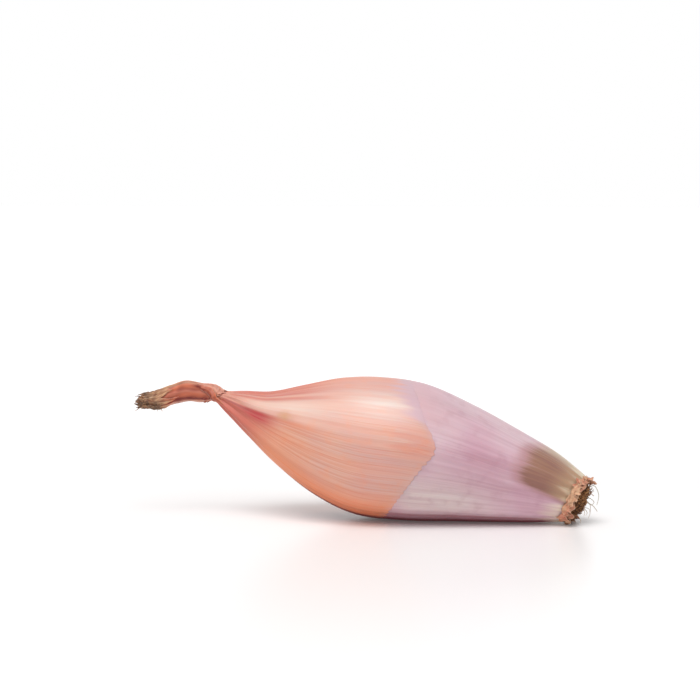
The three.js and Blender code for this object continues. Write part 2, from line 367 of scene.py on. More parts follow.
def paint(tree, base, look, coats):
    # Lays colours of the look over the base in turn; the base is one of them or a socket. Each coat has a
    # colour's name and a factor, a socket or a mask's name, and at times something that multiplies it.
    if isinstance(base, str):
        base = colour(*look[base])
    for name, factor, *amount in coats:
        if isinstance(factor, str):
            factor = attribute(tree, factor)
        if amount:
            factor = calc(tree, "MULTIPLY", factor, amount[0])
        base = blendColour(tree, factor, base, colour(*look[name]))
    return base


def groupSockets(group, inputs, outputs):
    # Gives a group its named sockets, and the inputs their usual values.
    for label, kind, value in inputs:
        socket = group.interface.new_socket(label, in_out="INPUT", socket_type=kind)
        if value is not None:
            socket.default_value = value
    for label, kind in outputs:
        group.interface.new_socket(label, in_out="OUTPUT", socket_type=kind)


def makeFibreGroup():
    # Streaks and thin lines that run along a leaf, from noise stretched along the fibre coordinates.
    group = bpy.data.node_groups.new("leafFibres", "ShaderNodeTree")
    groupSockets(group,
                 [("Fibre", "NodeSocketVector", None), ("Fineness", "NodeSocketFloat", 30.0),
                  ("Run", "NodeSocketFloat", 0.5), ("Line Width", "NodeSocketFloat", 0.03)],
                 [("Streaks", "NodeSocketFloat"), ("Broad", "NodeSocketFloat"), ("Lines", "NodeSocketFloat"),
                  ("Height", "NodeSocketFloat")])
    source = group.nodes.new("NodeGroupInput").outputs
    xyz = addNode(group, "ShaderNodeSeparateXYZ", {0: source["Fibre"]}).outputs

    def stretched(share, runShare, detail):
        # Noise at a share of the group's fineness across the fibres and of its run along them.
        fine = calc(group, "MULTIPLY", source["Fineness"], share)
        run = calc(group, "MULTIPLY", source["Run"], runShare)
        place = addNode(group, "ShaderNodeCombineXYZ", {
            0: calc(group, "MULTIPLY", xyz[0], fine),
            1: calc(group, "MULTIPLY", xyz[1], fine),
            2: calc(group, "MULTIPLY", xyz[2], run),
        }).outputs[0]
        inputs = {"Vector": place, "Scale": 1.0, "Detail": detail, "Roughness": 0.6}
        return addNode(group, "ShaderNodeTexNoise", inputs).outputs["Fac"]

    streaks = ramp(group, stretched(1.0, 1.0, 3.0), 0.3, 0.7)
    broad = ramp(group, stretched(0.22, 0.8, 2.0), 0.3, 0.7)
    wander = stretched(0.55, 0.5, 1.0)
    away = calc(group, "ABSOLUTE", calc(group, "SUBTRACT", wander, 0.5))
    away = calc(group, "DIVIDE", away, source["Line Width"], clamp=True)
    lines = calc(group, "SUBTRACT", 1.0, away, clamp=True)
    height = calc(group, "MULTIPLY", streaks, 0.7)
    height = calc(group, "SUBTRACT", height, calc(group, "MULTIPLY", lines, 0.5))
    addNode(group, "NodeGroupOutput", {"Streaks": streaks, "Broad": broad, "Lines": lines, "Height": height})
    return group


fibreGroup = makeFibreGroup()


def startMaterial(name):
    # A new material, its node tree and its shader.
    material = bpy.data.materials.new(name)
    material.use_nodes = True
    tree = material.node_tree
    return material, tree, tree.nodes["Principled BSDF"]


def fibresIn(tree, fineness, run, lineWidth):
    # The fibre group in a material, fed with the piece's own fibre coordinates.
    place = attribute(tree, "fibre", "Vector")
    inputs = {"Fibre": place, "Fineness": fineness, "Run": run, "Line Width": lineWidth}
    return addNode(tree, "ShaderNodeGroup", inputs, node_tree=fibreGroup).outputs


def objectNoise(tree, scale, detail=2.0):
    # Noise fixed to the object; the scale is in patches per metre.
    place = tree.nodes.new("ShaderNodeTexCoord").outputs["Object"]
    inputs = {"Vector": place, "Scale": scale, "Detail": detail}
    return addNode(tree, "ShaderNodeTexNoise", inputs).outputs["Fac"]


def setShader(tree, shader, base, grain, roughs, height, depth, **fixed):
    # Links colour, a roughness between the two roughs by the grain, and a bump of the given depth in mm.
    # The fixed values are the shader's own.
    relief = addNode(tree, "ShaderNodeBump", {"Strength": 1.0, "Distance": depth / 1000, "Height": height})
    feed(tree, shader.inputs, {"Base Color": base, "Roughness": ramp(tree, grain, 0.0, 1.0, *roughs),
                               "Normal": relief.outputs[0], **fixed})


satin = {"Specular IOR Level": 0.36, "Coat Roughness": 0.3}  # sheen that both skins share


bulbLook = {
    "pale": (214, 186, 194),
    "lilac": (203, 160, 176),
    "mauve": (168, 120, 132),
    "greyPatch": (218, 206, 200),
    "blush": (176, 130, 132),
    "stain": (148, 107, 83),
    "stainDark": (134, 92, 78),
    "olive": (184, 152, 116),
    "halo": (230, 218, 194),
    # painted shade along the underside
    "underShade": (136, 3, 34),
    "veil": (206, 168, 174),
}


def bulbMaterial():
    # Pale lilac skin, mottled and streaked along its fibres, with the masks' colours laid over it in turn.
    material, tree, shader = startMaterial("lilacSkin")
    look = bulbLook
    fibres = fibresIn(tree, 34.0, 0.35, 0.035)
    broad, streaks = fibres["Broad"], fibres["Streaks"]
    base = paint(tree, "pale", look, [
        ("lilac", ramp(tree, objectNoise(tree, 50), 0.35, 0.65)),
        ("greyPatch", "grey", 0.9),
        ("mauve", ramp(tree, objectNoise(tree, 230, 3.0), 0.5, 0.75, 0.0, 0.3)),
        ("mauve", broad, 0.36),
        ("mauve", fibres["Lines"], 0.2),
        ("pale", streaks, 0.18),
        ("mauve", "mauve", ramp(tree, broad, 0.1, 0.7, 0.35, 1.0)),
        ("veil", "veil"),
        # painted shade along the underside
        ("underShade", "underShade"),
    ])
    # The stain's edge is broken up by the streaks: rosy at first, then brown, and olive by the root end.
    ragged = calc(tree, "ADD", calc(tree, "MULTIPLY", broad, 0.5), 0.7)
    ragged = calc(tree, "ADD", ragged, calc(tree, "MULTIPLY", streaks, 0.3))
    ragged = calc(tree, "MULTIPLY", ragged, attribute(tree, "stain"))
    base = paint(tree, base, look, [("blush", ramp(tree, ragged, 0.02, 0.45, 0.0, 0.75))])
    brown = paint(tree, "stain", look, [("stainDark", ramp(tree, broad, 0.2, 0.9)), ("olive", "olive")])
    base = blendColour(tree, ramp(tree, ragged, 0.35, 0.95, 0.0, 0.92), base, brown)
    base = paint(tree, base, look, [("halo", "halo", ramp(tree, broad, 0.0, 0.8, 1.0, 0.55))])
    setShader(tree, shader, base, streaks, (0.36, 0.5), fibres["Height"], 0.03,
              **{**satin, "Subsurface Weight": 0.12, "Subsurface Scale": 0.004, "Coat Weight": 0.16})
    return material


dryLook = {
    "peach": (214, 150, 126),
    "cream": (226, 185, 166),
    "palePink": (232, 193, 178),
    # painted highlight
    "sheenHighlight": (230, 220, 212),
    "salmon": (196, 102, 90),
    # painted shade along the crease
    "crease": (130, 58, 56),
    "lilac": (206, 168, 176),
    "blush": (206, 162, 160),
    "orange": (238, 146, 100),
    "copper": (206, 82, 36),
    "rose": (184, 52, 62),
    # painted shade in the neck's grooves
    "grooveShade": (112, 20, 6),
    "tan": (208, 156, 118),
    "greyTip": (92, 66, 48),
    # painted shade along the underside
    "underShade": (132, 20, 14),
}


def drySkinMaterial():
    # The dry outer skin: peach on the bulb, copper on the neck, tan at its tip, pale along thin edges.
    material, tree, shader = startMaterial("copperSkin")
    look = dryLook
    fibres = fibresIn(tree, 38.0, 0.4, 0.03)
    broad, streaks = fibres["Broad"], fibres["Streaks"]
    mottle = objectNoise(tree, 260, 3.0)
    seeThrough = calc(tree, "ADD", attribute(tree, "thin"), calc(tree, "MULTIPLY", broad, 0.3))
    tan = calc(tree, "ADD", attribute(tree, "tan"), calc(tree, "MULTIPLY", mottle, 0.5))
    tip = attribute(tree, "tip")
    spots = calc(tree, "ADD", ramp(tree, objectNoise(tree, 700, 3.0), 0.38, 0.62), -0.45)
    dusk = calc(tree, "ADD", tip, calc(tree, "MULTIPLY", spots, tip), clamp=True)
    base = paint(tree, "peach", look, [
        ("cream", streaks),
        ("blush", ramp(tree, objectNoise(tree, 60), 0.4, 0.65, 0.0, 0.4)),
        ("blush", "blush"),
        ("orange", "orange"),
        ("orange", broad, 0.22),
        ("orange", ramp(tree, mottle, 0.5, 0.75, 0.0, 0.25)),
        ("copper", "copper"),
        ("copper", fibres["Lines"], 0.2),
        ("palePink", "pale"),
        ("salmon", "salmon"),
        # painted highlight, broken up by the streaks
        ("sheenHighlight", "sheenHighlight", ramp(tree, broad, 0.1, 0.8, 1.0, 0.45)),
        ("lilac", ramp(tree, seeThrough, 0.25, 1.1)),
        ("crease", "crease"),
        ("rose", "rose", ramp(tree, broad, 0.0, 0.6, 0.6, 1.0)),
        ("tan", ramp(tree, tan, 0.35, 0.95)),
        # painted shade along the underside
        ("underShade", "underShade"),
        # painted shade in the grooves
        ("grooveShade", "grooveShade"),
        ("greyTip", dusk, 0.9),
    ])
    setShader(tree, shader, base, streaks, (0.38, 0.54), fibres["Height"], 0.03,
              **{**satin, "Subsurface Weight": 0.1, "Subsurface Scale": 0.003, "Coat Weight": 0.14})
    return material


collarLook = {
    "tan": (222, 176, 136),
    "pinkBrown": (210, 124, 98),
    # the grain's own dark, and painted shade in the creases
    "dark": (92, 52, 36),
    "cream": (226, 196, 166),
}


def collarMaterial():
    # Dry papery skin: pink-brown to tan, grained and fibrous, with shade painted dark into its creases, and
    # cream at its edges.
    material, tree, shader = startMaterial("tornPaper")
    look = collarLook
    fibres = fibresIn(tree, 5.0, 1.6, 0.05)
    grain = objectNoise(tree, 900, 4.0)
    base = paint(tree, "pinkBrown", look, [
        ("tan", "tone"),
        ("dark", ramp(tree, grain, 0.48, 0.75, 0.0, 0.4)),
        ("pinkBrown", fibres["Broad"], 0.4),
        ("cream", fibres["Streaks"], 0.3),
        # painted shade in the creases
        ("dark", "grooveShade"),
        ("cream", "edge"),
    ])
    height = calc(tree, "ADD", fibres["Height"], grain)
    setShader(tree, shader, base, grain, (0.6, 0.85), height, 0.12)
    return material


corkLook = {
    "brown": (116, 74, 46),
    "dark": (56, 31, 18),
    "golden": (190, 136, 86),
    "hair": (184, 176, 158),
}


def corkMaterial():
    # Dark and brown grain, golden where the tone is high and in small patches.
    material, tree, shader = startMaterial("cork")
    look = corkLook
    grain = objectNoise(tree, 1300, 4.0)
    base = paint(tree, "dark", look, [
        ("brown", ramp(tree, grain, 0.35, 0.62)),
        ("golden", "tone"),
        ("golden", ramp(tree, objectNoise(tree, 420), 0.5, 0.7, 0.0, 0.45)),
    ])
    setShader(tree, shader, base, grain, (0.7, 0.95), grain, 0.25)
    return material


def hairMaterial():
    # Golden to pale grey, by each root's tone.
    material, tree, shader = startMaterial("rootHair")
    base = paint(tree, "golden", corkLook, [("hair", "tone")])
    grain = objectNoise(tree, 2500)
    setShader(tree, shader, base, grain, (0.5, 0.7), grain, 0.05)
    return material


# Bulb skin

skin = {
    "around": 480,
    "along": 188,
    "stations": (0.1, 10),
    "mouth": [0.02, 0.4, 0.8],  # shares of the radius that close the throat
    "lip": [0.99, 0.965, 0.93, 0.88, 0.8, 0.6, 0.3, 0.02],  # shares over the root end, and mm out of it
    "lipOut": [0.1, 0.17, 0.16, 0.05, -0.25, -0.6, -0.9, -1.0],
    "hiddenRows": 5,  # last rows, under the root plate
    "tuck": 0.3,  # mm that the bulb is drawn in where the dry skin covers it
    "edge": [  # corners of the dry skin's torn edge, as degrees round the bulb and station
        (-180, 5.5), (-160, 5.61), (-144, 5.71), (-126, 5.86), (-114, 6.01), (-102, 6.16), (-90, 6.32),
        (-82, 6.46), (-73, 6.5), (-64, 6.39), (-56, 6.24), (-45, 6.09), (-32, 5.95), (-17, 5.8), (7, 5.62),
        (35, 5.62), (60, 5.7), (90, 5.45), (120, 5.2), (150, 5.35),
    ],
    "spots": {  # strength, degrees and width, station and length, and degrees that it leans per station
        "grey": [(0.5, 128, 24, 7.4, 1.2, 0)],
        "mauve": [(0.45, -67.2, 8, 7.4, 0.8, -3), (0.4, -98, 6, 8.3, 0.8, 0), (0.5, 84, 14, 8, 1, 0)],
    },
}


def degreesOf(angle):
    # Degrees from -180 to 180; 0 is the top and -90 the front.
    return np.degrees(np.arctan2(np.sin(angle), np.cos(angle)))


def tornEdge(angle):
    # Station of the dry skin's torn edge: straight runs between its corners, with small teeth.
    corners, stations = np.transpose(skin["edge"])
    runs = np.interp(degreesOf(angle), corners, stations, period=360)
    return runs + 0.02 * ripples(angle, 0 * angle, 11, (17, 80), 0, 9)


def mmFromEdge(station, angle):
    # How far a point is from the torn edge: above 0 on the dry skin, below 0 past it.
    return (tornEdge(angle) - station) * outline["stationLength"]


def bulbPoints():
    # Rings with the radius plus the relief. The first ones close the throat, the last turn in at the root.
    rows, (first, final) = skin["along"], skin["stations"]
    mouth, lip = skin["mouth"], skin["lip"]
    station = [np.full(len(mouth), first), np.linspace(first, final, rows), np.full(len(lip), final)]
    share = np.concatenate([mouth, np.ones(rows), lip])
    out = np.append(np.zeros(len(mouth) + rows), skin["lipOut"])
    station, angle = grid(np.concatenate(station), roundAngles(skin["around"]))
    radius = ringAt(station)[3]
    covered = smoothStep(0.05, 0.25, tornEdge(angle) - station)
    relief = skinRelief(np.maximum(station, 0), angle, radius) + veinRelief(station, angle)
    reach = share[:, None] * (radius + relief - skin["tuck"] * covered)
    points = onRing(station, angle, reach) + rootWay * out[:, None, None]
    points[..., 2] = np.maximum(points[..., 2], 0)
    return station, angle, points


def addSpots(masks, spots, degrees, station):
    # Adds soft spots to the masks: strength * bell over the degrees * bell over the stations.
    for label, rows in spots.items():
        for strength, turn, width, along, length, lean in rows:
            spot = bump(degrees, turn + lean * (station - along), width) * bump(station, along, length)
            masks[label] = masks.get(label, 0) + strength * spot

def paintedUnderShade(station, angle):
    # Painted shade: dark red along the side that lies on the table, fading up both sides.
    under = np.abs(degreesOf(angle + math.pi)) + 4 * ripples(angle, station, 17, (4, 30), 0.5)
    return smoothStep(40, 15, under) * smoothStep(2.6, 4, station) * smoothStep(9.9, 9.2, station)


def bulbPiece(material):
    # The bulb with its colour masks: soft steps along and round it, and spots.
    station, angle, points = bulbPoints()
    flat, faces = closedTube(points)
    degrees = degreesOf(angle)
    # The stain lies on the upper front of the root end, the grey patch low in front of the torn edge.
    stain = smoothStep(7.88, 8.8, station - 0.009 * np.maximum(degrees + 32, 0))
    stain = stain * smoothStep(-93, -68, degrees + 10 * (station - 8.3)) * smoothStep(66, 16, degrees)
    grey = bump(degrees, -122, 24) * smoothStep(5.4, 6.2, station) * smoothStep(8.8, 6.8, station)
    # The halo is cream: a rim along the top, and a band low in front and behind; between them it is thin.
    uneven = station + 0.16 * ripples(angle, station, 3, (5, 22), 0.2)
    beside = smoothStep(-94, -106, degrees) + smoothStep(80, 110, degrees)
    halo = 0.9 * smoothStep(9.1, 9.7, uneven) * beside + 0.4 * smoothStep(9.5, 9.8, uneven) * (1 - beside)
    halo = halo + 0.85 * smoothStep(8.3, 9.0, uneven) * bump(degrees, 14, 23)
    # Just past the torn edge the upper front is pale, so that the edge hardly shows there.
    veil = smoothStep(-11, 0, mmFromEdge(station, angle)) * smoothStep(-64, -44, degrees)
    masks = {
        "stain": stain, "grey": grey, "halo": halo, "veil": 0.85 * veil * smoothStep(110, 70, degrees),
        # The last mask here is painted shade along the underside.
        "olive": 0.75 * smoothStep(9.0, 9.7, station), "underShade": paintedUnderShade(station, angle),
    }
    addSpots(masks, skin["spots"], degrees, station)
    # The end under the root plate is plain brown.
    hidden = np.arange(len(station))[:, None] >= len(station) - skin["hiddenRows"]
    for label, tone in (("stain", 1), ("olive", 0.2), ("halo", 0), ("veil", 0)):
        masks[label] = np.where(hidden, tone, masks[label])
    values = pointValues(masks, fibreCoords(station, angle), withPoles)
    return makePiece("bulb_skin", flat, faces, material, values)


# Dry outer skin, from the torn edge over the throat and along the neck to its tip

dryMasks = ("blush", "thin", "orange", "copper", "pale", "salmon", "sheenHighlight", "crease", "rose", "tan",
            "underShade", "grooveShade", "tip")

drySpots = {  # as on the bulb
    "orange": [(0.5, 4, 18, 3.1, 0.9, 0), (0.3, -76, 8, 3.4, 0.7, 0)],
    "salmon": [(0.35, -73, 8, 2.9, 0.4, 0)],
    # Painted highlight on the upper front: this pale spot and the two spots after it.
    "pale": [(0.45, -46, 22, 4.3, 1.7, 0)],
    "sheenHighlight": [(0.6, -43, 12, 5.25, 0.75, 0), (0.4, -52, 13, 3.2, 1.0, 0)],
    "rose": [(1.0, -86, 11, 2.05, 0.55, 0), (0.35, 70, 9, 2.2, 0.7, 0)],
    "tan": [(0.5, -72, 8, 2.88, 0.3, 0)],
}


def creaseDegrees(station):
    # The crease in front that runs from the neck into the throat: -84 degrees at the throat, then higher.
    return -84 + 6 * smoothStep(0.6, 2.3, station)


def foldShadow(station, degrees):
    # The dark red line on the tip's side of the crossing fold.
    beside = bump(station, -2.1 - 0.027 * (degrees + 50), 0.24)
    return 0.9 * beside * smoothStep(-125, -105, degrees) * smoothStep(-36, -52, degrees)


def drySkinValues(station, angle):
    # Where the dry skin changes colour, each mask about 0 to 1: soft steps along and round it, and spots.
    degrees, fromEdge = degreesOf(angle), mmFromEdge(station, angle)
    uneven = ripples(angle, station, 22, (2, 9), 0.5)
    low = smoothStep(-116, -156, degrees) + smoothStep(112, 155, degrees)
    lowSide = smoothStep(-96, -122, degrees) + smoothStep(60, 100, degrees)
    topFront = smoothStep(-62, -46, degrees) * smoothStep(110, 70, degrees)
    thinTo = fromEdge + 1.2 * uneven + 1.5 * ripples(angle, station, 24, (12, 60), 0.4, 9)
    patchTo = fromEdge + 2 * ripples(angle, station, 23, (9, 50), 1.5)
    patch = bump(degrees, -75 + 3 * uneven, 15) * smoothStep(10, 6, patchTo)
    blush = smoothStep(40, 6, fromEdge) * (0.35 + 0.4 * smoothStep(-85, -30, degrees)) * (1 - low)
    orange = 0.9 * low * smoothStep(0.8, 2.2, station) + 0.2 * patch + 0.12 * uneven
    copper = (0.05 + 0.5 * lowSide) * smoothStep(3.0, 0.5, station)
    copper = copper + 0.1 * low * smoothStep(2.5, 4.5, station)
    copper = copper + 0.1 * smoothStep(-60, -80, degrees) * smoothStep(4.6, 3.2, station)
    # Above the crease the throat is salmon at the top and pale below it; under the crease it is salmon again.
    aboveCrease = smoothStep(0, 5, degrees - creaseDegrees(station)) * smoothStep(70, 40, degrees)
    salmonTop = smoothStep(-52, -38, degrees + 3 * uneven) * smoothStep(0.2, 0.7, station)
    salmonTop = salmonTop * smoothStep(4.8, 2.8, station)
    belowTop = aboveCrease * (1 - salmonTop)
    salmonLow = (1 - aboveCrease) * smoothStep(-0.1, 0.5, station) * smoothStep(3.0, 1.5, station)
    streaky = 0.68 + 0.3 * ripples(angle, station, 25, (10, 44), 0.3, 9)
    salmon = salmonTop * streaky * aboveCrease + 0.85 * salmonLow + 0.14 * patch
    pale = belowTop * (0.15 + 0.6 * smoothStep(0.8, 2.4, station)) * smoothStep(4.4, 2.8, station)
    # Painted shade in a narrow band just below the crease.
    nearCrease = bump(degrees, creaseDegrees(station) - 3, 4.5) * smoothStep(-0.8, 0.2, station)
    # On the neck shade is painted dark into the grooves, and the tip turns tan and then grey, soonest below,
    # where the grey is partly painted shade.
    tipShare = smoothStep(-3.8, -5.2, station)
    # Painted shade in the valleys of the folds.
    grooveShade = smoothStep(-0.2, -0.8, foldShape(station, angle)) * smoothStep(0.1, -0.9, station)
    tip = smoothStep(-4.4, -6.4, station + 0.5 * ripples(angle, station, 34, (3, 12), 1.2))
    # Greyer below: the tip's own weathered grey, with painted shade over it.
    tip = tip * (0.6 + 0.4 * smoothStep(-60, -110, degrees))
    masks = {
        "thin": smoothStep(8.5, 0.2, thinTo) * topFront + 0.3 * smoothStep(2.4, 0.1, fromEdge),
        "blush": blush + 0.35 * patch,
        "orange": orange + 0.5 * smoothStep(-74, -106, degrees) * smoothStep(5.0, 2.6, station),
        "copper": np.maximum(copper, 0.92 * smoothStep(-0.1, -0.8, station)),
        "salmon": salmon + 0.35 * belowTop * smoothStep(1.9, 0.6, station),
        "pale": pale * smoothStep(-0.4, 0.1, station),
        "crease": 0.65 * nearCrease * smoothStep(2.9, 1.6, station),
        "grooveShade": 0.85 * grooveShade * (1 - 0.5 * tipShare) + foldShadow(station, degrees),
        "tan": smoothStep(-3.9, -5.4, station + 0.4 * ripples(angle, station, 33, (2, 9), 0.8)),
        # Greyer still under the tip: the same, partly painted shade.
        "tip": tip + 0.8 * tipShare * smoothStep(-95, -125, degrees),
        # Painted shade along the underside.
        "underShade": 0.95 * paintedUnderShade(station, angle) ** 2,
    }
    addSpots(masks, drySpots, degrees, station)
    masks["pale"] = masks["pale"] * (0.85 + 0.25 * uneven)
    return masks


copper = {
    "around": 480,
    "along": 150,
    "start": 0.0,  # station where it has passed under the neck's folds
    "rim": [0.992, 0.998, 1],  # last rows of the outer face, as shares of the way to the torn edge
    "inner": [1, 0.985, 0.9, 0.75, 0.6, 0.45, 0.3, 0.15, 0.05],  # rows of the inner face, and their depth
    "depth": [0.08, 0.1, 0.45, 0.6, 0.6, 0.6, 0.6, 0.6, 0.6],
    "overTable": 0.06,  # mm that the inner face stays above the table
    "lift": 0.1,
    "curl": 0.28,  # mm that the torn edge stands up at most
}


def copperPiece(material):
    # The outer face runs from the throat to the torn edge, and a plain inner face runs back below it.
    outward = np.append(np.linspace(0, 0.985, copper["along"]) ** 0.85, copper["rim"])
    share, angle = grid(np.append(outward, copper["inner"]), roundAngles(copper["around"]))
    depth = np.append(np.zeros(len(outward)), copper["depth"])[:, None]
    station = copper["start"] + (tornEdge(angle) - copper["start"]) * share
    radius = ringAt(station)[3]
    fromEdge = mmFromEdge(station, angle)
    uneven = 0.45 + 0.5 * ripples(angle, 0 * angle, 21, (3, 24), 0)
    pressed = smoothStep(0.75, 0.95, -np.cos(angle)) * smoothStep(4.2, 5, station)
    # It lies close to the bulb on the upper front, and its edge stands up most behind.
    degrees = degreesOf(angle)
    behind = smoothStep(60, 95, degrees)
    away = smoothStep(-55, -75, degrees) + behind
    curl = copper["curl"] * (0.4 * away + 0.6 * behind)
    stand = copper["lift"] * (1 - 0.8 * (1 - away) * np.exp(-fromEdge / 3))
    stand = stand + curl * np.maximum(uneven, 0) * np.exp(-fromEdge / 0.7) * (1 - pressed)
    stand = stand - 0.15 * smoothStep(0.35, -0.1, station)
    reach = radius + skinRelief(station, angle, radius) + veinRelief(station, angle) + stand
    points = onRing(station, angle, reach - depth)
    points[..., 2] = np.maximum(points[..., 2], (depth > 0) * copper["overTable"])
    faces = gridQuads(*share.shape, closedRows=True, closedColumns=True)
    values = pointValues(drySkinValues(station, angle), fibreCoords(station, angle), asRows)
    return makePiece("copper_skin", asRows(points), faces, material, values)


neck = {
    "around": 360,
    "along": 200,
    "stations": (0.9, -6.75),
    "crumple": 0.1,
    "mouth": [0.02, 0.5, 0.9],  # shares of the radius that close its end in the throat
    "tip": [0.8, 0.4, 0.02],  # and its tip
}


def neckPiece(material):
    # The folded outer leaves of the neck, one closed tube that narrows and crumples at the frayed tip.
    first, final = neck["stations"]
    mouth, tip = neck["mouth"], neck["tip"]
    share = np.concatenate([np.zeros(len(mouth)), np.linspace(0, 1, neck["along"]), np.ones(len(tip))])
    width = np.concatenate([mouth, np.ones(neck["along"]), tip])[:, None]
    share, angle = grid(share, roundAngles(neck["around"]))
    ragged = 0.16 * ripples(angle, 0 * angle, 31, (3, 20), 0, 8) + 0.55 * bump(degreesOf(angle), -5, 60)
    station = first + (final - first) * share + ragged * smoothStep(0.7, 1, share)
    radius = ringAt(station)[3]
    atTip = smoothStep(-3.8, -5.4, station)
    crumple = neck["crumple"] * smoothStep(0.2, -0.8, station) + 0.3 * atTip
    crumple = crumple * ripples(angle, station, 32, (6, 30), 6, 11)
    narrow = 1 - 0.45 * smoothStep(-5.9, -6.75, station) - 0.26 * atTip
    offset = 0.1 - 0.15 * smoothStep(0.25, 0.8, station)
    relief = skinRelief(station, angle, radius) + veinRelief(station, angle) * smoothStep(-0.5, 0.5, station)
    points = onRing(station, angle, width * ((radius + relief + crumple) * narrow + offset))
    flat, faces = closedTube(points)
    masks = drySkinValues(station, angle)
    # Painted shade in the hollows of the crumpled tip.
    masks["grooveShade"] = masks["grooveShade"] + 0.5 * smoothStep(-0.05, -0.3, crumple) * atTip
    values = pointValues(masks, fibreCoords(station, angle), withPoles)
    return makePiece("neck_folds", flat, faces, material, values)


# Loose leaves on the neck. Along each run the angle in degrees, the width and the lift in mm. Curl is how
# far its edges turn up (or down, below 0), calm how flat it lies between them, ragged how deep its end is
# torn, and drape how far it follows the folds below. Its tones are tan, copper and blush all over, pale
# along the rim, or along its lower side alone with rimBelow, and dark on the other side. The pale rim is
# the thin edge's own colour with painted light that the edge catches; the dark is painted shade.
sheathUsual = {
    "curl": 0.5, "calm": 1, "ragged": 0.12, "drape": 0, "tan": 0, "copper": 0.85, "blush": 0, "pale": 0.5,
    "dark": 0, "rimBelow": False,
    "along": 84, "across": 19, "thickness": 0.12,  # points of its grid, and mm
}

sheaths = {
    "top_leaf": {
        "stations": (-1.5, -6.5), "angles": [8, 6, 8, 10, 10], "widths": [2.6, 4.8, 5.0, 4.6, 2.4],
        "lifts": [0.3, 0.6, 0.6, 0.35, 0.1], "curl": -0.4, "calm": 0.35, "tan": 0.35, "pale": 0.2,
        "copper": 0.35,
    },
    "lower_leaf": {
        "stations": (0.2, -5.9), "angles": [-112, -104, -98, -96, -98, -104],
        "widths": [0.8, 4.2, 5.5, 5.6, 4.8, 2.2], "lifts": [0.08, 0.32, 0.42, 0.46, 0.5, 0.7],
        "curl": 0.15, "calm": 0.45, "pale": 0.6, "copper": 0.6, "dark": 0.5, "rimBelow": True,
        "drape": 1, "ragged": 0.14,
    },
    "crossing_fold": {
        "stations": (0.7, -2.15), "angles": [-124, -114, -98, -80, -62, -48],
        "widths": [0.4, 1.2, 1.6, 1.7, 1.5, 0.7], "lifts": [0.05, 0.7, 1.2, 1.35, 1.15, 0.7],
        "curl": -0.9, "calm": 0.3, "pale": 0.45, "copper": 0.6, "dark": 0.45, "ragged": 0.05,
    },
    "pale_flap": {
        "stations": (-2.3, 0.25), "angles": [-18, -28, -40, -36], "widths": [0.5, 2.2, 3.5, 2.9],
        "lifts": [0.8, 1.0, 0.8, 0.12], "curl": -0.25, "calm": 0.3, "blush": 0.42, "copper": 0.5,
    },
    "middle_leaf": {
        "stations": (-3.4, -7.1), "angles": [-110, -116, -112, -104, -96],
        "widths": [0.5, 2.0, 2.4, 2.3, 1.0], "lifts": [0.3, 0.55, 0.6, 0.7, 0.6],
        "curl": 0.3, "calm": 0.6, "tan": 0.2, "pale": 0.7, "ragged": 0.15,
    },
    "back_leaf": {
        "stations": (0.9, -6.9), "angles": [120, 100, 62, 55, 60, 66],
        "widths": [0.3, 1.8, 2.5, 2.8, 2.4, 0.9], "lifts": [0.05, 0.3, 0.35, 0.4, 0.5, 0.8], "tan": 0.1,
    },
    "back_lower_leaf": {
        "stations": (0.6, -6.9), "angles": [170, 160, 128, 120, 124, 140],
        "widths": [0.3, 1.6, 2.2, 2.5, 2.0, 0.8], "lifts": [0.05, 0.35, 0.4, 0.4, 0.5, 0.7], "tan": 0.1,
        "pale": 0.4,
    },
}

# Torn strips at the tip, each with stations, angles, widths, lifts, curl, calm, tan, pale and ragged.
tipStrips = [
    ((-3.9, -6.9), [-52, -60, -64, -58], [0.4, 2.4, 2.8, 1.4], [0.4, 0.6, 0.4, 0.3], 0.6, 0.7, 0.7, 0.8, 0.3),
    ((-4.1, -7), [-100, -108, -122, -134], [0.4, 2, 2.4, 1.2], [0.3, 0.5, 0.6, 0.9], 0.8, 0.7, 0.6, 0.5, 0.3),
    ((-3.8, -6.3), [-12, -18, -24, -16], [0.4, 2.2, 2.6, 1.6], [0.3, 0.3, 0.1, 0.0], 0.4, 0.7, 0.8, 0.3, 0.3),
    ((-3.9, -6.4), [34, 28, 20, 30], [0.4, 1.6, 1.8, 0.9], [0.3, 0.3, 0.2, 0.1], 0.7, 1, 0.8, 0.4, 0.3),
    ((-4, -6.3), [-152, -150, -148, -140], [0.4, 1.9, 2.4, 1.5], [0.3, 0.6, 1, 1.8], 0.8, 0.8, 0.4, 0.2, 0.35),
    ((-3.8, -7.0), [90, 96, 88, 80], [0.4, 1.6, 1.8, 0.8], [0.3, 0.6, 0.8, 1.0], 0.7, 1, 0.8, 0.4, 0.3),
    ((-4.3, -6.7), [-128, -136, -148, -150], [0.4, 1.8, 2, 1], [0.3, 0.5, 0.8, 1.4], 0.9, 0.8, 0.5, 0.6, 0.3),
]
stripKeys = ("stations", "angles", "widths", "lifts", "curl", "calm", "tan", "pale", "ragged")
for number, row in enumerate(tipStrips, 1):
    sheaths[f"tip_strip_{number}"] = dict(zip(stripKeys, row))


